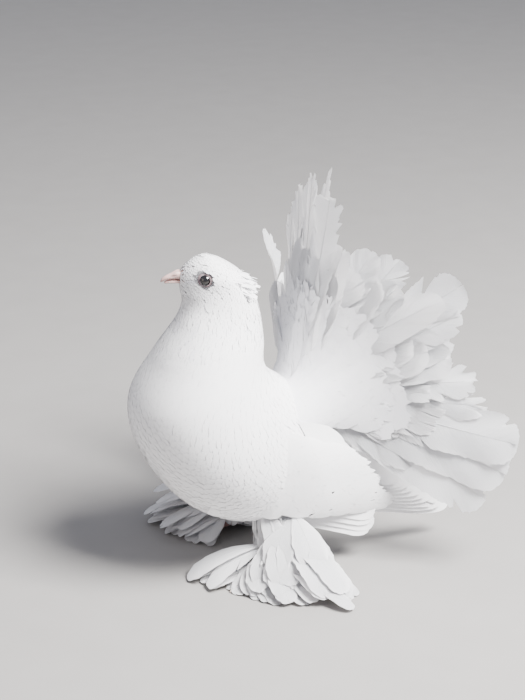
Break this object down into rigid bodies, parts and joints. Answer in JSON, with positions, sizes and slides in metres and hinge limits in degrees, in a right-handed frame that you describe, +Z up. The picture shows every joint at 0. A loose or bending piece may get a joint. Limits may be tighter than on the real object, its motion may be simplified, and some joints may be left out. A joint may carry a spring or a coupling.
{
  "type": "fantail pigeon",
  "caption": "White fantail pigeon standing with its tail fanned upright, a small crest at the back of its head and long feathers over its feet.",
  "frame": {"origin": "bottom centre of the bounding box, on the floor that the toes stand on", "axes": "+X from the breast back towards the tail, so the bird heads along -X; +Y towards its right side; +Z up"},
  "size_m": [0.2394, 0.2348, 0.2656],
  "materials": {
    "plumage": "soft matte white body feathers",
    "flight_feather": "matte white vanes with fine barbs, slightly translucent",
    "bill": "dusky pink horn with a powdery cere",
    "eye": "wet dark brown",
    "claw": "satin pale horn"
  },
  "bodies": {
    "root": {"bill_lower": "bill", "bill_upper": "bill", "claw_left_1": "claw", "claw_left_2": "claw", "claw_left_3": "claw", "claw_left_4": "claw", "claw_right_1": "claw", "claw_right_2": "claw", "claw_right_3": "claw", "claw_right_4": "claw", "eye_left": "eye", "eye_right": "eye", "head": "plumage", "leg_left": "plumage", "leg_right": "plumage", "neck": "plumage", "tail_left": "flight_feather", "tail_right": "flight_feather", "torso": "plumage", "wing_left": "flight_feather", "wing_right": "flight_feather"}
  },
  "joints": []
}
